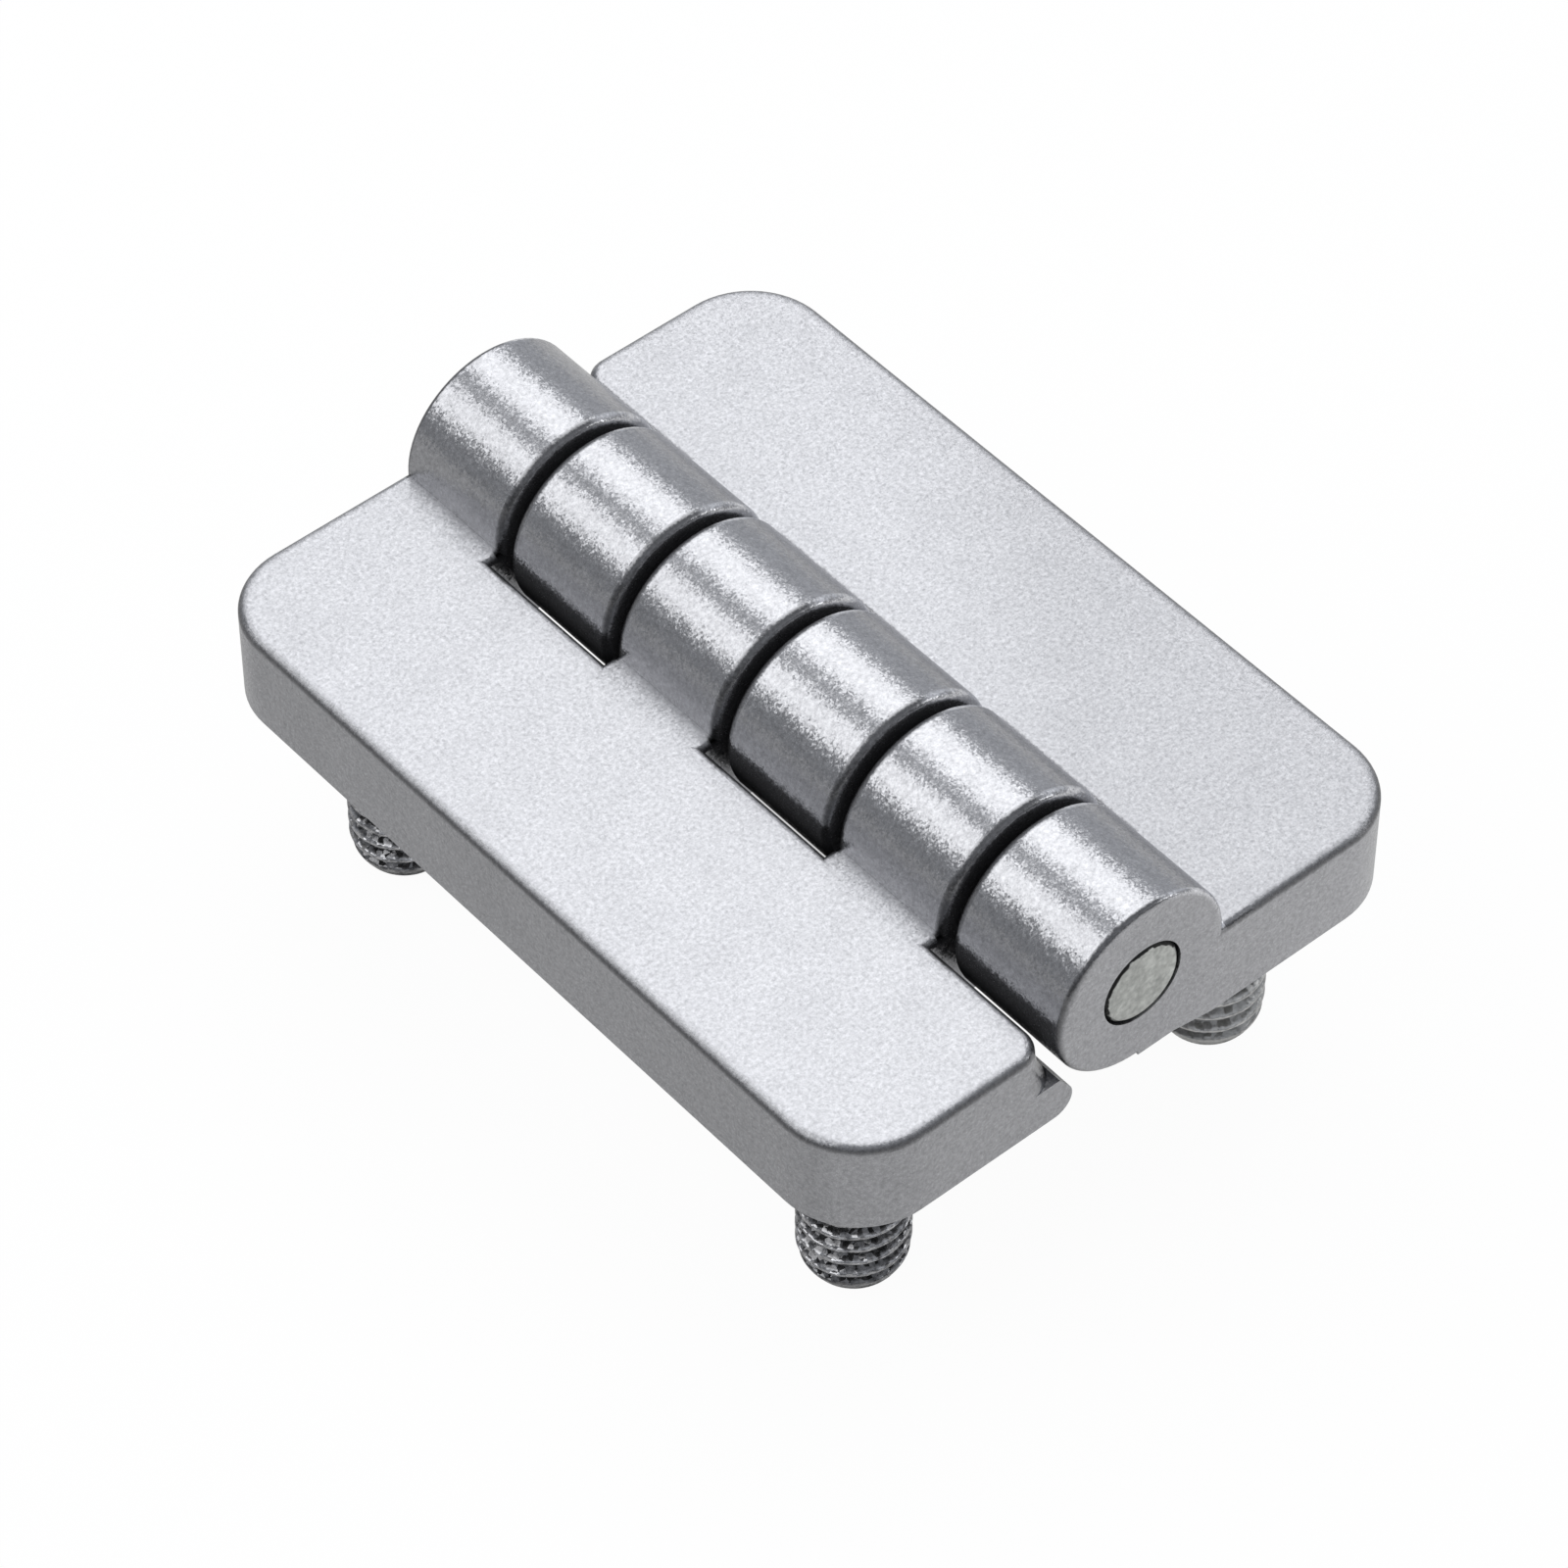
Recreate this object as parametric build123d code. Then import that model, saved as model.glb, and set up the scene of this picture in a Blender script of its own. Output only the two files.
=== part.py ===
from build123d import *
import os
from math import asin, cos, pi, radians, sin, sqrt

# Butt hinge for a cabinet door: two cast leaves, six interleaved knuckles, one pin and four threaded studs.
# X runs across the leaves, Y along the pin, Z up. The leaf backs lie at Z = 0 and the studs point down.
# The origin is the middle of the four studs on the mounting plane, straight under the pin.
# All sizes are in millimetres.

# Overall sizes
length = 51.0
open_width = 38.0
leaf_thick = 6.0
barrel_dia = 11.0
knuckle_count = 6

# Gaps and rounds of the castings
knuckle_gap = 0.7
barrel_clearance = 0.75
knuckle_round = 0.5
end_rim_round = 0.35
edge_round = 0.5
outer_corner = 4.7
inner_corner = 1.5
ledge_height = 2.7
toe_round = 1.15

# Web that joins a knuckle to its plate, measured from the pin's axis
web_flat_end = 2.4
web_foot = 5.0

# Pin and bore
pin_dia = 5.0
bore_dia = 5.1
pin_end_chamfer = 0.25
pin_far_recess = 0.5
knurl_teeth = 24
knurl_length = 6.0
knurl_lead = 0.4
knurl_crest_r = 2.6
knurl_root_r = 2.44

# Threaded studs, drawn without their thread, and the necked head that the casting holds
stud_dia = 5.95
stud_length = 12.6
stud_point_length = 2.2
stud_tip_r = 1.95
stud_spacing_x = 24.5
stud_spacing_y = 36.5
anchor_neck_r = 2.3
anchor_neck_height = 2.0
anchor_head_r = 3.6
anchor_head_top = 4.2
anchor_head_chamfer = 0.4

# Worked out from the sizes above
half_length = length / 2
half_width = open_width / 2
axis_z = leaf_thick
barrel_r = barrel_dia / 2
recess_r = barrel_r + barrel_clearance
knuckle_pitch = (length + knuckle_gap) / knuckle_count


def knuckle_span(index):
    """Near and far Y of a knuckle's end faces; index 0 is the nearest knuckle. All are equally long."""
    near = -half_length + index * knuckle_pitch
    return near, near + knuckle_pitch - knuckle_gap


def on_circle(x, z, radius, angle):
    """Point of the XZ plane at an angle, in radians from +X towards +Z, on a circle about (x, z)."""
    return x + radius * cos(angle), 0, z + radius * sin(angle)


def extrude_section(section, near, far):
    """Extrudes a face drawn in the XZ plane from one Y to another."""
    return Pos(0, near, 0) * extrude(section, far - near, dir=(0, 1, 0))


def plate_section():
    """Leaf section beside a knuckle of the other leaf: a hollow about the pin, ending in a rounded toe."""
    toe_reach = recess_r + toe_round
    toe_x = sqrt(toe_reach ** 2 - (axis_z - toe_round) ** 2)
    hollow_angle = asin((axis_z - toe_round) / toe_reach)
    hollow_top = (recess_r, 0, axis_z)
    hollow_mid = on_circle(0, axis_z, recess_r, -hollow_angle / 2)
    hollow_end = on_circle(0, axis_z, recess_r, -hollow_angle)
    toe_mid = on_circle(toe_x, toe_round, toe_round, radians(225) - hollow_angle / 2)
    toe_end = (toe_x, 0, 0)
    outline = [
        Line((half_width, 0, 0), (half_width, 0, leaf_thick)),
        Line((half_width, 0, leaf_thick), hollow_top),
        ThreePointArc(hollow_top, hollow_mid, hollow_end),
        ThreePointArc(hollow_end, toe_mid, toe_end),
        Line(toe_end, (half_width, 0, 0)),
    ]
    return make_face(Wire(outline))


def web_section():
    """Section of the metal between a knuckle and its plate. Its foot rises clear of the mounting plane."""
    rise = axis_z - barrel_r
    inside_plate = recess_r + toe_round
    return make_face(Polyline(
        (0, 0, leaf_thick), (inside_plate, 0, leaf_thick), (inside_plate, 0, 0),
        (web_foot, 0, 0), (web_flat_end, 0, rise), (0, 0, rise), close=True))


def barrel(index):
    """One knuckle: a short cylinder with rounded rims. The rim at the hinge's own end is a little sharper."""
    near, far = knuckle_span(index)
    body = Pos(0, (near + far) / 2, axis_z) * Rot(90, 0, 0) * Cylinder(barrel_r, far - near)
    near_rim = body.edges().filter_by(GeomType.CIRCLE).sort_by(Axis.Y)[0]
    body = fillet(near_rim, end_rim_round if index == 0 else knuckle_round)
    far_rim = body.edges().filter_by(GeomType.CIRCLE).sort_by(Axis.Y)[-1]
    return fillet(far_rim, knuckle_round)


def corner_waste():
    """What the far end of the hollow loses: its mouth is rounded, down to a ledge on the toe."""
    centre = Pos(recess_r + inner_corner, half_length - inner_corner)
    square = centre * Rectangle(2 * inner_corner, 2 * inner_corner, align=(Align.MAX, Align.MIN))
    spandrel = square - centre * Circle(inner_corner)
    ring = Pos(0, 0, axis_z) * revolve(spandrel, Axis.Y, 90)
    above_ledge = Plane(origin=(0, 0, ledge_height), z_dir=(0, 0, 1))
    return ring.split(above_ledge, keep=Keep.TOP)


def stud_profile():
    """Half profile of a stud in the XZ plane: threaded length below, neck and head inside the casting."""
    r = stud_dia / 2
    point_start = (r, 0, stud_point_length - stud_length)
    tip_edge = (stud_tip_r, 0, -stud_length)
    point = TangentArc(point_start, tip_edge, tangent=(0, 0, -1))
    rest = Polyline(
        tip_edge, (0, 0, -stud_length), (0, 0, anchor_head_top),
        (anchor_head_r - anchor_head_chamfer, 0, anchor_head_top),
        (anchor_head_r, 0, anchor_head_top - anchor_head_chamfer), (anchor_head_r, 0, anchor_neck_height),
        (anchor_neck_r, 0, anchor_neck_height), (anchor_neck_r, 0, 0), (r, 0, 0), point_start)
    return make_face(Wire([point, *rest.edges()]))


def stud(side, end):
    """A stud on its seat: side -1 or 1 across the leaves, end -1 or 1 along the pin."""
    return Pos(side * stud_spacing_x / 2, end * stud_spacing_y / 2, 0) * revolve(stud_profile(), Axis.Z)


def right_leaf():
    """The casting with the knuckles 0, 2 and 4, counted from the near end."""
    plate = extrude_section(plate_section(), -half_length, half_length)
    outer = plate.edges().filter_by(Axis.Z).group_by(Axis.X)[-1]
    plate = fillet(outer, outer_corner) - corner_waste()
    own = range(0, knuckle_count, 2)
    for index in own:
        plate += extrude_section(web_section(), *knuckle_span(index))
    top = plate.faces().sort_by(Axis.Z)[-1]
    web_ends = top.edges().group_by(Axis.X)[0]
    rim = [edge for edge in top.edges() if edge not in web_ends]
    plate = fillet(rim, edge_round)
    for index in own:
        plate += barrel(index)
    plate -= Pos(0, 0, axis_z) * Rot(90, 0, 0) * Cylinder(bore_dia / 2, 2 * length)
    for end in (-1, 1):
        plate -= stud(1, end)
    return plate.solid()


def hinge_pin():
    """Plain pin with a straight knurl at its near end, which grips the nearest knuckle."""
    near = -half_length
    far = half_length - pin_far_recess
    shaft = Pos(0, (near + far) / 2, axis_z) * Rot(90, 0, 0) * Cylinder(pin_dia / 2, far - near)
    shaft = chamfer(shaft.edges().filter_by(GeomType.CIRCLE), pin_end_chamfer)
    points = []
    for step in range(2 * knurl_teeth):
        r = knurl_crest_r if step % 2 == 0 else knurl_root_r
        points.append(on_circle(0, axis_z, r, pi * step / knurl_teeth))
    star = make_face(Polyline(*points, close=True))
    pin = shaft + extrude_section(star, near + knurl_lead, near + knurl_length)
    return pin.solid()


os.makedirs("parts", exist_ok=True)
leaf = right_leaf()
export_step(leaf, "parts/right_leaf.step")
export_step(Rot(0, 0, 180) * leaf, "parts/left_leaf.step")
export_step(hinge_pin(), "parts/hinge_pin.step")
for side_name, side in (("left", -1), ("right", 1)):
    for end_name, end in (("front", -1), ("rear", 1)):
        export_step(stud(side, end), f"parts/{side_name}_stud_{end_name}.step")
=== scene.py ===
from math import cos, pi, radians, sin, sqrt, tau

import bmesh
import bpy
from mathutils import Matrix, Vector


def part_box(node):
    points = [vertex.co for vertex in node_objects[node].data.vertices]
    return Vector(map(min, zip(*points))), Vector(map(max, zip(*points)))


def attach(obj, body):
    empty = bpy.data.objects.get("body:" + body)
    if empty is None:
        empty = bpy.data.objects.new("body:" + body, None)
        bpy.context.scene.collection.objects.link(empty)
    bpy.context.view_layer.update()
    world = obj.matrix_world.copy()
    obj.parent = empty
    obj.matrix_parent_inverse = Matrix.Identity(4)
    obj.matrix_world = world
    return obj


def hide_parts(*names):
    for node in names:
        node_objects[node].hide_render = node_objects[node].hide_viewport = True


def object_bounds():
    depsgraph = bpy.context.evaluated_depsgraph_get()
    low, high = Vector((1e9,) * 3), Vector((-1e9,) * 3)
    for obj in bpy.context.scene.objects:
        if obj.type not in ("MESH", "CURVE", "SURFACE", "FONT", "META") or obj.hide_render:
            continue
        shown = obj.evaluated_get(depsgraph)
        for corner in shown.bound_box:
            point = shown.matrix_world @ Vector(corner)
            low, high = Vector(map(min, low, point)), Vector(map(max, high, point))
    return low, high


# Cabinet hinge lying open on its studs. Metres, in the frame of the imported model: X runs across the leaves, Y along
# the pin, Z up, and the leaves' backs lie at Z = 0.
MM = 0.001

# Thread of the studs. Crest and root are shares of one pitch, the start is in turns.
THREAD_PITCH = 1.0 * MM
THREAD_MAJOR_R = 2.975 * MM
THREAD_DEPTH = 0.54 * MM
THREAD_CREST = 0.16
THREAD_ROOT = 0.22
THREAD_START = 0.5
THREAD_SEGMENTS = 64
THREAD_RINGS_PER_TURN = 12
STUD_POINT_LENGTH = 2.2 * MM
STUD_TIP_R = 1.95 * MM

# Painted highlight on a thread's crests and painted shade on its flanks, changing from this far under its major
# radius to this far under it
THREAD_CREST_LIGHT_FROM = 0.22 * MM
THREAD_CREST_LIGHT_TO = 0.04 * MM

# Rounded edges: how soft a plate's top edges look and how far from the barrel that starts, and how much painted shade
# or painted highlight they and the barrel's rims get. The rims turn from painted shade to a painted glint on their
# right, from one X to the next.
EDGE_SOFTNESS = 0.5 * MM
EDGE_CLEAR_OF_BARREL = 2.0 * MM
TOP_EDGE_PAINTED_SHADE = -0.55
RIM_PAINTED_SHADE_AND_GLINT = (-0.65, 1.0)
RIM_TURNS_BRIGHT = (0.8 * MM, 1.8 * MM)
TOP_TOLERANCE = 0.05 * MM
BARREL_TOLERANCE = 0.2 * MM

# Leaves: the flat tops are painted a little lighter as painted light, less so and at last a little darker towards the
# near right corner, measured askew
FLAT_FROM_UP = (0.90, 0.995)
TOP_PAINTED_LIGHT = (0.10, -0.04)
CORNER_SLANT = 1.5
CORNER_REACH = (12 * MM, 24 * MM)
DAPPLE_SIZE = 0.24 * MM
DAPPLE_SHADES = (0.78, 1.21)

# Painted shade of the gap round the pin's end, wider on the upper left, and stains on the end itself
PIN_SHADE_OFFSET = (0.06 * MM, -0.12 * MM)
PIN_SHADE_R = (2.30 * MM, 2.35 * MM)
PIN_RAGGED = 0.45 * MM
PIN_RAGGED_SIZE = 0.5 * MM
PIN_GAP_PAINTED_SHADE = 0.04
PIN_STAIN_SIZE = 0.8 * MM
PIN_STAIN_NOISE = (0.35, 0.65)
PIN_STAIN_SHADES = (0.78, 1.2)

# Painted shade in the narrow gaps, a dark matt colour over the metal: how far from a wall it reaches, from which
# openness on, and how much metal it covers
CREVICE_REACH = 2.0 * MM
CREVICE_OPENNESS = (0.12, 0.42)
CREVICE_PAINTED_SHADE = 0.9
CREVICE_SHADE_COLOUR = (0.03, 0.03, 0.032, 1.0)

# Metals in general: where most of a noise lies, and the broad clouds over the grain
NOISE_SPAN = (0.3, 0.7)
CLOUD_GRAINS = 30
CLOUD_SHARE = 0.25

# Surroundings. Levels in front by height, and behind by side; directions are parts of a unit vector.
SKY_COLOUR = (0.955, 0.985, 1.045, 1.0)
FRONT_HEIGHTS, FRONT_LEVELS = (0.1, 0.5), (0.10, 0.62)
BACK_SIDES, BACK_LEVELS = (-0.8, 0.3), (0.30, 0.62)
TURN_BACK = (-0.2, 0.45)

# Floor: its colour, and its level as metal sees it by X, with what the foremost part adds
FLOOR_HALF_SIZE = 3.0
FLOOR_COLOUR = (0.80, 0.80, 0.80, 1.0)
FLOOR_SIDES, FLOOR_LEVELS = (-10 * MM, 25 * MM), (0.57, 0.74)
FLOOR_FRONT, FLOOR_FRONT_ADDS = (-34 * MM, -20 * MM), (0.12, 0.0)

# Painted shadow on the floor: the share that the camera sees as plain white, smaller deep under the hinge, where its
# real shadow shows more, and larger away from it
SHADOW_CENTRE = (4 * MM, 8 * MM)
SHADOW_REACH = (6 * MM, 16 * MM)
SHADOW_WHITE = (0.55, 0.96)

# Camera fitted to the photograph
CAMERA_AT = Vector((-146.51, -169.15, 248.11)) * MM
CAMERA_AIM = Vector((-3.069, -2.167, 3.084)) * MM
CAMERA_LENS_MM = 148.73
SENSOR_MM = 36.0


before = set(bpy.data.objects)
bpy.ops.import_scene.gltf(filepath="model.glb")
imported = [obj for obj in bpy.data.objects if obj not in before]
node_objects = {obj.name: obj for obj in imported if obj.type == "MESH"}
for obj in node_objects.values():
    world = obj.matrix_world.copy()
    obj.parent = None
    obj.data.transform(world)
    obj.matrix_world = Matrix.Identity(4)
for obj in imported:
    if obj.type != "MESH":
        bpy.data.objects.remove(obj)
cad_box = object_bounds()
scene = bpy.context.scene

# Sizes of the castings, as packed. The pin's axis lies level with the leaves' flat tops.
_, leaf_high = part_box("right_leaf")
pin_low, pin_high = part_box("hinge_pin")
stud_low, stud_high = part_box("right_stud_rear")
plate_top = (pin_low.z + pin_high.z) / 2
barrel_r = leaf_high.z - plate_top
stud_x = (stud_low.x + stud_high.x) / 2
stud_y = (stud_low.y + stud_high.y) / 2


def new_material(name):
    """An empty node material and its tree."""
    material = bpy.data.materials.new(name)
    material.use_nodes = True
    tree = material.node_tree
    tree.nodes.clear()
    return material, tree


def add_node(tree, kind, **settings):
    node = tree.nodes.new(kind)
    for key, value in settings.items():
        setattr(node, key, value)
    return node


def noise(tree, coords, size, detail=2.0, roughness=0.5):
    """Noise whose features are about this many metres across."""
    node = add_node(tree, "ShaderNodeTexNoise")
    node.inputs["Scale"].default_value = 1.0 / size
    node.inputs["Detail"].default_value = detail
    node.inputs["Roughness"].default_value = roughness
    tree.links.new(coords, node.inputs["Vector"])
    return node.outputs["Fac"]


def ramp(tree, fac, low, high, colour_low, colour_high):
    """Maps a factor from low..high to two colours."""
    node = add_node(tree, "ShaderNodeValToRGB")
    first, last = node.color_ramp.elements
    first.position, last.position = low, high
    first.color, last.color = (*colour_low, 1.0), (*colour_high, 1.0)
    tree.links.new(fac, node.inputs["Fac"])
    return node.outputs["Color"]


def scale_range(tree, fac, low, high, to_low, to_high):
    """Maps a factor from low..high to another range, and no further."""
    node = add_node(tree, "ShaderNodeMapRange")
    for key, value in (("From Min", low), ("From Max", high), ("To Min", to_low), ("To Max", to_high)):
        node.inputs[key].default_value = value
    tree.links.new(fac, node.inputs["Value"])
    return node.outputs["Result"]


def calc(tree, operation, *values):
    """A math node whose inputs are sockets or numbers."""
    node = add_node(tree, "ShaderNodeMath", operation=operation)
    for socket, value in zip(node.inputs, values):
        if isinstance(value, (int, float)):
            socket.default_value = value
        else:
            tree.links.new(value, socket)
    return node.outputs["Value"]


def split(tree, vector):
    """The X, Y and Z of a vector."""
    node = add_node(tree, "ShaderNodeSeparateXYZ")
    tree.links.new(vector, node.inputs["Vector"])
    return node.outputs["X"], node.outputs["Y"], node.outputs["Z"]


def scaled(tree, vector, factor):
    """A vector or colour times a socket or a number."""
    node = add_node(tree, "ShaderNodeVectorMath", operation="SCALE")
    tree.links.new(vector, node.inputs[0])
    if isinstance(factor, (int, float)):
        node.inputs["Scale"].default_value = factor
    else:
        tree.links.new(factor, node.inputs["Scale"])
    return node.outputs["Vector"]


def distance_from(tree, across, along):
    """Length of a vector with two parts."""
    squares = calc(tree, "MULTIPLY_ADD", across, across, calc(tree, "MULTIPLY", along, along))
    return calc(tree, "SQRT", squares)


def mix_shaders(tree, share, first, second):
    """Mixes two shader nodes by a socket."""
    mix = add_node(tree, "ShaderNodeMixShader")
    tree.links.new(share, mix.inputs["Fac"])
    tree.links.new(first.outputs[0], mix.inputs[1])
    tree.links.new(second.outputs[0], mix.inputs[2])
    return mix


def normal_parts(tree):
    """The X, Y and Z of the piece's own smooth normal."""
    return split(tree, add_node(tree, "ShaderNodeTexCoord").outputs["Normal"])


def soft_edge_normal(tree, coords):
    """The surface's normal, which turns a little sooner along the top edges of the plates."""
    bevel = add_node(tree, "ShaderNodeBevel", samples=4)
    bevel.inputs["Radius"].default_value = EDGE_SOFTNESS
    x, _, z = split(tree, coords)
    on_plate = calc(tree, "GREATER_THAN", calc(tree, "ABSOLUTE", x), barrel_r + EDGE_CLEAR_OF_BARREL)
    is_upper = calc(tree, "GREATER_THAN", z, plate_top / 2)
    mix = add_node(tree, "ShaderNodeMix", data_type="VECTOR")
    tree.links.new(calc(tree, "MULTIPLY", on_plate, is_upper), mix.inputs["Factor"])
    tree.links.new(add_node(tree, "ShaderNodeNewGeometry").outputs["Normal"], mix.inputs[4])
    tree.links.new(bevel.outputs["Normal"], mix.inputs[5])
    return mix.outputs[1]


def flake_normal(tree, coords, size, tilt):
    """The surface's normal with the small random tilt that each flake or grain of the finish has."""
    cells = add_node(tree, "ShaderNodeTexVoronoi")
    cells.inputs["Scale"].default_value = 1.0 / size
    tree.links.new(coords, cells.inputs["Vector"])
    centred = add_node(tree, "ShaderNodeVectorMath", operation="SUBTRACT")
    centred.inputs[1].default_value = (0.5, 0.5, 0.5)
    tree.links.new(cells.outputs["Color"], centred.inputs[0])
    tilted = add_node(tree, "ShaderNodeVectorMath", operation="ADD")
    tree.links.new(soft_edge_normal(tree, coords), tilted.inputs[0])
    tree.links.new(scaled(tree, centred.outputs["Vector"], tilt), tilted.inputs[1])
    unit = add_node(tree, "ShaderNodeVectorMath", operation="NORMALIZE")
    tree.links.new(tilted.outputs["Vector"], unit.inputs[0])
    return unit.outputs["Vector"]


def below_top(tree, coords):
    """1 up to the height of the plates' flat tops and 0 above, where the barrel stands out."""
    _, _, z = split(tree, coords)
    return calc(tree, "LESS_THAN", z, plate_top + TOP_TOLERANCE)


def face_mask(tree, coords):
    """1 on a leaf's flat top and 0 elsewhere: it looks up and lies no higher than the plate."""
    _, _, up = normal_parts(tree)
    looks_up = scale_range(tree, up, *FLAT_FROM_UP, 0.0, 1.0)
    return calc(tree, "MULTIPLY", looks_up, below_top(tree, coords))


def rounding(tree, part):
    """1 where a part of the normal is half way between 0 and 1, as in the middle of a rounded edge."""
    part = calc(tree, "MAXIMUM", part, 0.0)
    return calc(tree, "MULTIPLY", calc(tree, "MULTIPLY", part, 4.0), calc(tree, "SUBTRACT", 1.0, part))


def painted_edge_light(tree, coords):
    """Painted light on the rounded edges: painted shade on the plates' top edges and on most rims, a painted glint on
    the rims' right.
    """
    _, along, up = normal_parts(tree)
    x, _, _ = split(tree, coords)
    top_edge = calc(tree, "MULTIPLY", rounding(tree, up), below_top(tree, coords))
    on_barrel = calc(tree, "LESS_THAN", calc(tree, "ABSOLUTE", x), barrel_r + BARREL_TOLERANCE)
    rim = calc(tree, "MULTIPLY", rounding(tree, calc(tree, "ABSOLUTE", along)), on_barrel)
    # Painted shade on the rims' left, turning into a painted glint on their right
    rim_painted_light = scale_range(tree, x, *RIM_TURNS_BRIGHT, *RIM_PAINTED_SHADE_AND_GLINT)
    # Painted shade along the plates' top edges
    edge = calc(tree, "MULTIPLY_ADD", top_edge, TOP_EDGE_PAINTED_SHADE, 1.0)
    return calc(tree, "MULTIPLY_ADD", rim, rim_painted_light, edge)


def leaf_dapple_and_painted_light(tree, coords):
    """Shade of the leaves' sprayed coat: flat tops painted paler as painted light, less so towards one corner,
    painted light on the rounded edges, and dappled all over.
    """
    x, y, _ = split(tree, coords)
    towards_corner = calc(tree, "MULTIPLY_ADD", x, CORNER_SLANT, calc(tree, "MULTIPLY", y, -1.0))
    # Painted light: the flat tops lighter, less so towards the near right corner
    top_painted_light = scale_range(tree, towards_corner, *CORNER_REACH, *TOP_PAINTED_LIGHT)
    face = calc(tree, "MULTIPLY_ADD", face_mask(tree, coords), top_painted_light, 1.0)
    spots = noise(tree, coords, DAPPLE_SIZE, detail=3.0, roughness=0.7)
    dapple = scale_range(tree, spots, *NOISE_SPAN, *DAPPLE_SHADES)
    return calc(tree, "MULTIPLY", calc(tree, "MULTIPLY", face, painted_edge_light(tree, coords)), dapple)


def pin_gap_shade_and_stains(tree, coords):
    """Painted shade of the gap round the pin's end, with a ragged edge and wider on one side, over stains on the end.
    """
    x, _, z = split(tree, coords)
    across = calc(tree, "SUBTRACT", x, PIN_SHADE_OFFSET[0])
    along = calc(tree, "SUBTRACT", z, plate_top + PIN_SHADE_OFFSET[1])
    swing = calc(tree, "SUBTRACT", noise(tree, coords, PIN_RAGGED_SIZE), 0.5)
    ragged = calc(tree, "MULTIPLY", swing, PIN_RAGGED)
    reach = calc(tree, "ADD", distance_from(tree, across, along), ragged)
    # Painted shade: dark beyond a ragged circle round the pin's end
    unshaded = scale_range(tree, reach, *PIN_SHADE_R, 1.0, PIN_GAP_PAINTED_SHADE)
    blots = noise(tree, coords, PIN_STAIN_SIZE, detail=4.0, roughness=0.65)
    stain = scale_range(tree, blots, *PIN_STAIN_NOISE, *PIN_STAIN_SHADES)
    return calc(tree, "MULTIPLY", unshaded, stain)


def thread_painted_light(flank, crest):
    """Gives painted shade to a thread's flanks and a painted highlight to its crests, by the distance from the
    nearest stud's axis.
    """
    def shade_of(tree, coords):
        x, y, _ = split(tree, coords)
        across = calc(tree, "SUBTRACT", calc(tree, "ABSOLUTE", x), stud_x)
        along = calc(tree, "SUBTRACT", calc(tree, "ABSOLUTE", y), stud_y)
        reach = distance_from(tree, across, along)
        # Painted shade on the flanks, painted highlight on the crests
        return scale_range(tree, reach, THREAD_MAJOR_R - THREAD_CREST_LIGHT_FROM, THREAD_MAJOR_R - THREAD_CREST_LIGHT_TO,
                           flank, crest)
    return shade_of


def metal(name, dark, light, metallic, rough, grain, tilt, bump, shade_of, flat_rough=0.0):
    """Sprayed or bare metal: flakes that each tilt a little, over soft broad clouds and fine pits.

    The roughness runs over the range given by rough, and flat_rough is added to it on the leaves' flat tops.
    """
    material, tree = new_material(name)
    coords = add_node(tree, "ShaderNodeTexCoord").outputs["Object"]
    speckle = noise(tree, coords, grain, detail=3.0, roughness=0.6)
    clouds = noise(tree, coords, grain * CLOUD_GRAINS, detail=2.0)
    mix = add_node(tree, "ShaderNodeMix", data_type="FLOAT")
    mix.inputs["Factor"].default_value = CLOUD_SHARE
    tree.links.new(speckle, mix.inputs["A"])
    tree.links.new(clouds, mix.inputs["B"])

    shader = add_node(tree, "ShaderNodeBsdfPrincipled")
    shader.inputs["Metallic"].default_value = metallic
    colour = scaled(tree, ramp(tree, mix.outputs["Result"], *NOISE_SPAN, dark, light), shade_of(tree, coords))
    tree.links.new(colour, shader.inputs["Base Color"])
    grain_rough = scale_range(tree, speckle, *NOISE_SPAN, *rough)
    roughness = calc(tree, "MULTIPLY_ADD", face_mask(tree, coords), flat_rough, grain_rough)
    tree.links.new(roughness, shader.inputs["Roughness"])

    height = add_node(tree, "ShaderNodeBump")
    height.inputs["Distance"].default_value = bump
    tree.links.new(noise(tree, coords, grain * 2, detail=3.0), height.inputs["Height"])
    tree.links.new(flake_normal(tree, coords, grain, tilt), height.inputs["Normal"])
    tree.links.new(height.outputs["Normal"], shader.inputs["Normal"])

    # Painted shade: a dark matt colour mixed over the metal in narrow gaps, by how open the spot is
    openness = add_node(tree, "ShaderNodeAmbientOcclusion", samples=8)
    openness.inputs["Distance"].default_value = CREVICE_REACH
    painted_shade_share = scale_range(tree, openness.outputs["AO"], *CREVICE_OPENNESS, CREVICE_PAINTED_SHADE, 0.0)
    crevice_shade = add_node(tree, "ShaderNodeBsdfDiffuse")
    crevice_shade.inputs["Color"].default_value = CREVICE_SHADE_COLOUR
    output = add_node(tree, "ShaderNodeOutputMaterial")
    tree.links.new(mix_shaders(tree, painted_shade_share, shader, crevice_shade).outputs["Shader"], output.inputs["Surface"])
    return material


def put_material(item, material):
    item.data.materials.clear()
    item.data.materials.append(material)


def thread_radius(turn_share):
    """Radius of the thread's profile, where turn_share runs from 0 to 1 over one pitch."""
    flank = (1 - THREAD_CREST - THREAD_ROOT) / 2
    if turn_share < THREAD_CREST:
        depth = 0
    elif turn_share < THREAD_CREST + flank:
        depth = (turn_share - THREAD_CREST) / flank
    elif turn_share < THREAD_CREST + flank + THREAD_ROOT:
        depth = 1
    else:
        depth = (1 - turn_share) / flank
    return THREAD_MAJOR_R - THREAD_DEPTH * depth


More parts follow.
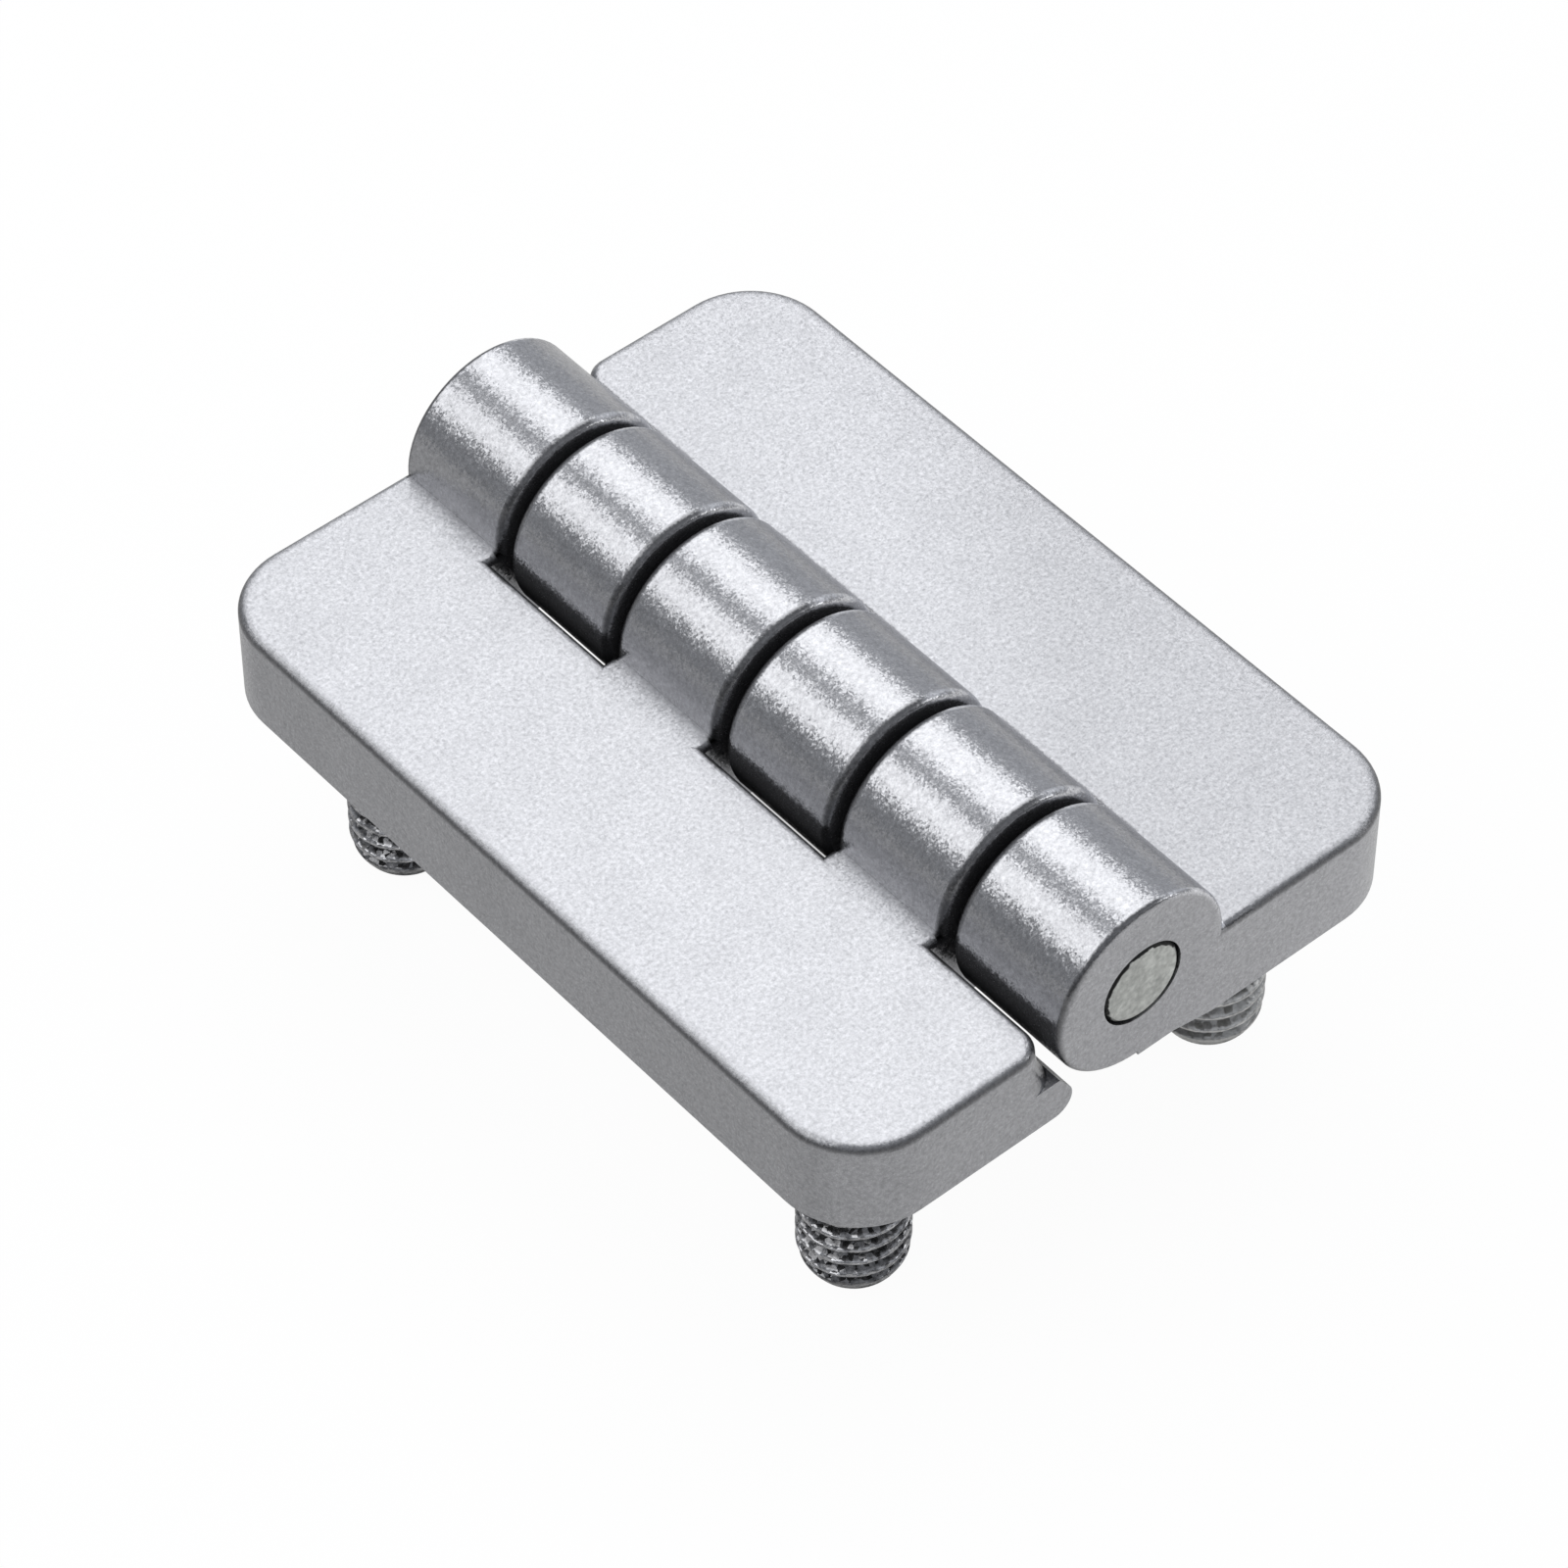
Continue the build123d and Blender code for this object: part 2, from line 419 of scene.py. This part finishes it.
def point_radius(rise):
    """Radius of the stud's envelope at a height over its tip: an arc that meets the side without a corner."""
    drop = THREAD_MAJOR_R - STUD_TIP_R
    arc_r = (STUD_POINT_LENGTH ** 2 + drop ** 2) / (2 * drop)
    below = max(STUD_POINT_LENGTH - rise, 0.0)
    return THREAD_MAJOR_R - arc_r + sqrt(arc_r ** 2 - below ** 2)


def threaded_stud(name, node, body, material):
    """A rolled stud in place of a plain one: one helical groove that runs out at the rounded tip."""
    low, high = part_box(node)
    axis_x, axis_y = (low.x + high.x) / 2, (low.y + high.y) / 2
    length = -low.z
    rings = round(length / THREAD_PITCH * THREAD_RINGS_PER_TURN)
    mesh = bmesh.new()
    loops = []
    for ring in range(rings + 1):
        rise = length * ring / rings
        limit_r = point_radius(rise)
        loop = []
        for step in range(THREAD_SEGMENTS):
            angle = tau * step / THREAD_SEGMENTS
            turn_share = (rise / THREAD_PITCH - step / THREAD_SEGMENTS + THREAD_START) % 1.0
            r = min(limit_r, thread_radius(turn_share))
            loop.append(mesh.verts.new((axis_x + r * cos(angle), axis_y + r * sin(angle), low.z + rise)))
        loops.append(loop)
    for lower, upper in zip(loops, loops[1:]):
        for step in range(THREAD_SEGMENTS):
            after = (step + 1) % THREAD_SEGMENTS
            mesh.faces.new((lower[step], lower[after], upper[after], upper[step]))
    mesh.faces.new(list(reversed(loops[0])))
    mesh.faces.new(loops[-1])
    bmesh.ops.recalc_face_normals(mesh, faces=mesh.faces)
    data = bpy.data.meshes.new(name)
    mesh.to_mesh(data)
    mesh.free()
    for face in data.polygons:
        face.use_smooth = len(face.vertices) == 4
    piece = bpy.data.objects.new(name, data)
    scene.collection.objects.link(piece)
    put_material(piece, material)
    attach(piece, body)
    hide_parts(node)


def softbox(name, angle, distance, y, width, length, radiance):
    """A lamp whose sides run along the pin, at an angle from +X towards +Z; it is as bright as the radiance given."""
    data = bpy.data.lights.new(name, "AREA")
    data.shape = "RECTANGLE"
    data.size, data.size_y = width, length
    data.energy = radiance * pi * width * length
    lamp = bpy.data.objects.new(name, data)
    scene.collection.objects.link(lamp)
    turn = radians(angle)
    lamp.location = (distance * cos(turn), y, distance * sin(turn))
    lamp.rotation_euler = (0, pi / 2 - turn, 0)


def studio_world():
    """Plain grey surroundings, darker low down in front and a little darker on the left behind."""
    world = bpy.data.worlds.new("studio")
    world.use_nodes = True
    tree = world.node_tree
    tree.nodes.clear()
    coords = add_node(tree, "ShaderNodeTexCoord").outputs["Generated"]
    x, y, z = split(tree, coords)
    front = scale_range(tree, z, *FRONT_HEIGHTS, *FRONT_LEVELS)
    back = scale_range(tree, x, *BACK_SIDES, *BACK_LEVELS)
    backwards = scale_range(tree, y, *TURN_BACK, 0.0, 1.0)
    backdrop = add_node(tree, "ShaderNodeBackground")
    backdrop.inputs["Color"].default_value = SKY_COLOUR
    level = calc(tree, "MULTIPLY_ADD", backwards, calc(tree, "SUBTRACT", back, front), front)
    tree.links.new(level, backdrop.inputs["Strength"])
    output = add_node(tree, "ShaderNodeOutputWorld")
    tree.links.new(backdrop.outputs["Background"], output.inputs["Surface"])
    scene.world = world


def floor_material():
    """Pale matt floor. The camera sees it white but for a soft shadow, real and painted deeper under the hinge, and
    metal sees it darker on the left.
    """
    material, tree = new_material("pale_floor")
    diffuse = add_node(tree, "ShaderNodeBsdfDiffuse")
    diffuse.inputs["Color"].default_value = FLOOR_COLOUR
    path = add_node(tree, "ShaderNodeLightPath")
    glow = add_node(tree, "ShaderNodeEmission")
    glow.inputs["Strength"].default_value = 1.0
    mirrored = add_node(tree, "ShaderNodeEmission")
    x, y, _ = split(tree, add_node(tree, "ShaderNodeTexCoord").outputs["Object"])
    rightwards = scale_range(tree, x, *FLOOR_SIDES, *FLOOR_LEVELS)
    forwards = scale_range(tree, y, *FLOOR_FRONT, *FLOOR_FRONT_ADDS)
    tree.links.new(calc(tree, "ADD", rightwards, forwards), mirrored.inputs["Strength"])
    # Painted shadow: less plain white near the middle under the hinge
    across = calc(tree, "SUBTRACT", x, SHADOW_CENTRE[0])
    along = calc(tree, "SUBTRACT", y, SHADOW_CENTRE[1])
    whiteness = scale_range(tree, distance_from(tree, across, along), *SHADOW_REACH, *SHADOW_WHITE)
    seen_white = mix_shaders(tree, whiteness, diffuse, glow)
    seen_in_metal = mix_shaders(tree, path.outputs["Is Glossy Ray"], diffuse, mirrored)
    both = mix_shaders(tree, path.outputs["Is Camera Ray"], seen_in_metal, seen_white)
    output = add_node(tree, "ShaderNodeOutputMaterial")
    tree.links.new(both.outputs["Shader"], output.inputs["Surface"])
    return material


def add_floor(z):
    half = FLOOR_HALF_SIZE
    data = bpy.data.meshes.new("floor")
    corners = [(-half, -half, z), (half, -half, z), (half, half, z), (-half, half, z)]
    data.from_pydata(corners, [], [(0, 1, 2, 3)])
    floor = bpy.data.objects.new("floor", data)
    scene.collection.objects.link(floor)
    put_material(floor, floor_material())


def add_camera():
    data = bpy.data.cameras.new("camera")
    data.lens = CAMERA_LENS_MM
    data.sensor_width = SENSOR_MM
    camera = bpy.data.objects.new("camera", data)
    scene.collection.objects.link(camera)
    camera.location = CAMERA_AT
    camera.rotation_euler = (CAMERA_AIM - CAMERA_AT).to_track_quat("-Z", "Y").to_euler()
    scene.camera = camera


leaf_finish = metal(
    "silver_casting", dark=(0.33, 0.332, 0.345), light=(0.43, 0.432, 0.447), metallic=0.9, rough=(0.20, 0.28),
    grain=0.10 * MM, tilt=0.15, bump=0.004 * MM, shade_of=leaf_dapple_and_painted_light, flat_rough=0.16)
pin_finish = metal(
    "pin_end", dark=(0.31, 0.32, 0.30), light=(0.65, 0.66, 0.63), metallic=0.7, rough=(0.40, 0.60),
    grain=0.35 * MM, tilt=0.3, bump=0.02 * MM, shade_of=pin_gap_shade_and_stains)
# The studs on both leaves are one steel: the left ones a darker copy with more contrast as painted shade, the right
# ones a paler, softer copy as painted light
stud_lit_and_shaded_copies = {
    "left": metal(
        "stud_steel", dark=(0.045, 0.045, 0.047), light=(0.46, 0.46, 0.47), metallic=0.95, rough=(0.12, 0.30),
        grain=0.28 * MM, tilt=0.65, bump=0.03 * MM, shade_of=thread_painted_light(0.5, 1.6)),
    "right": metal(
        "stud_steel_painted_paler", dark=(0.24, 0.24, 0.237), light=(0.56, 0.56, 0.55), metallic=0.9, rough=(0.28, 0.40),
        grain=0.28 * MM, tilt=0.4, bump=0.02 * MM, shade_of=thread_painted_light(0.78, 1.35)),
}

for node in ("left_leaf", "right_leaf"):
    put_material(node_objects[node], leaf_finish)
put_material(node_objects["hinge_pin"], pin_finish)
for side, body in (("left", "moving_leaf"), ("right", "fixed_leaf")):
    for end in ("front", "rear"):
        node = f"{side}_stud_{end}"
        threaded_stud(f"{node}_thread", node, body, stud_lit_and_shaded_copies[side])

studio_world()
softbox("back_right", angle=68.0, distance=0.5, y=0.24, width=0.41, length=0.62, radiance=1.97)
softbox("back_left", angle=127.6, distance=0.5, y=0.24, width=0.32, length=0.62, radiance=1.97)
softbox("front_right", angle=26.0, distance=0.42, y=-0.34, width=0.10, length=0.16, radiance=3.00)
add_floor(cad_box[0][2])
add_camera()
scene.view_settings.view_transform = "Standard"
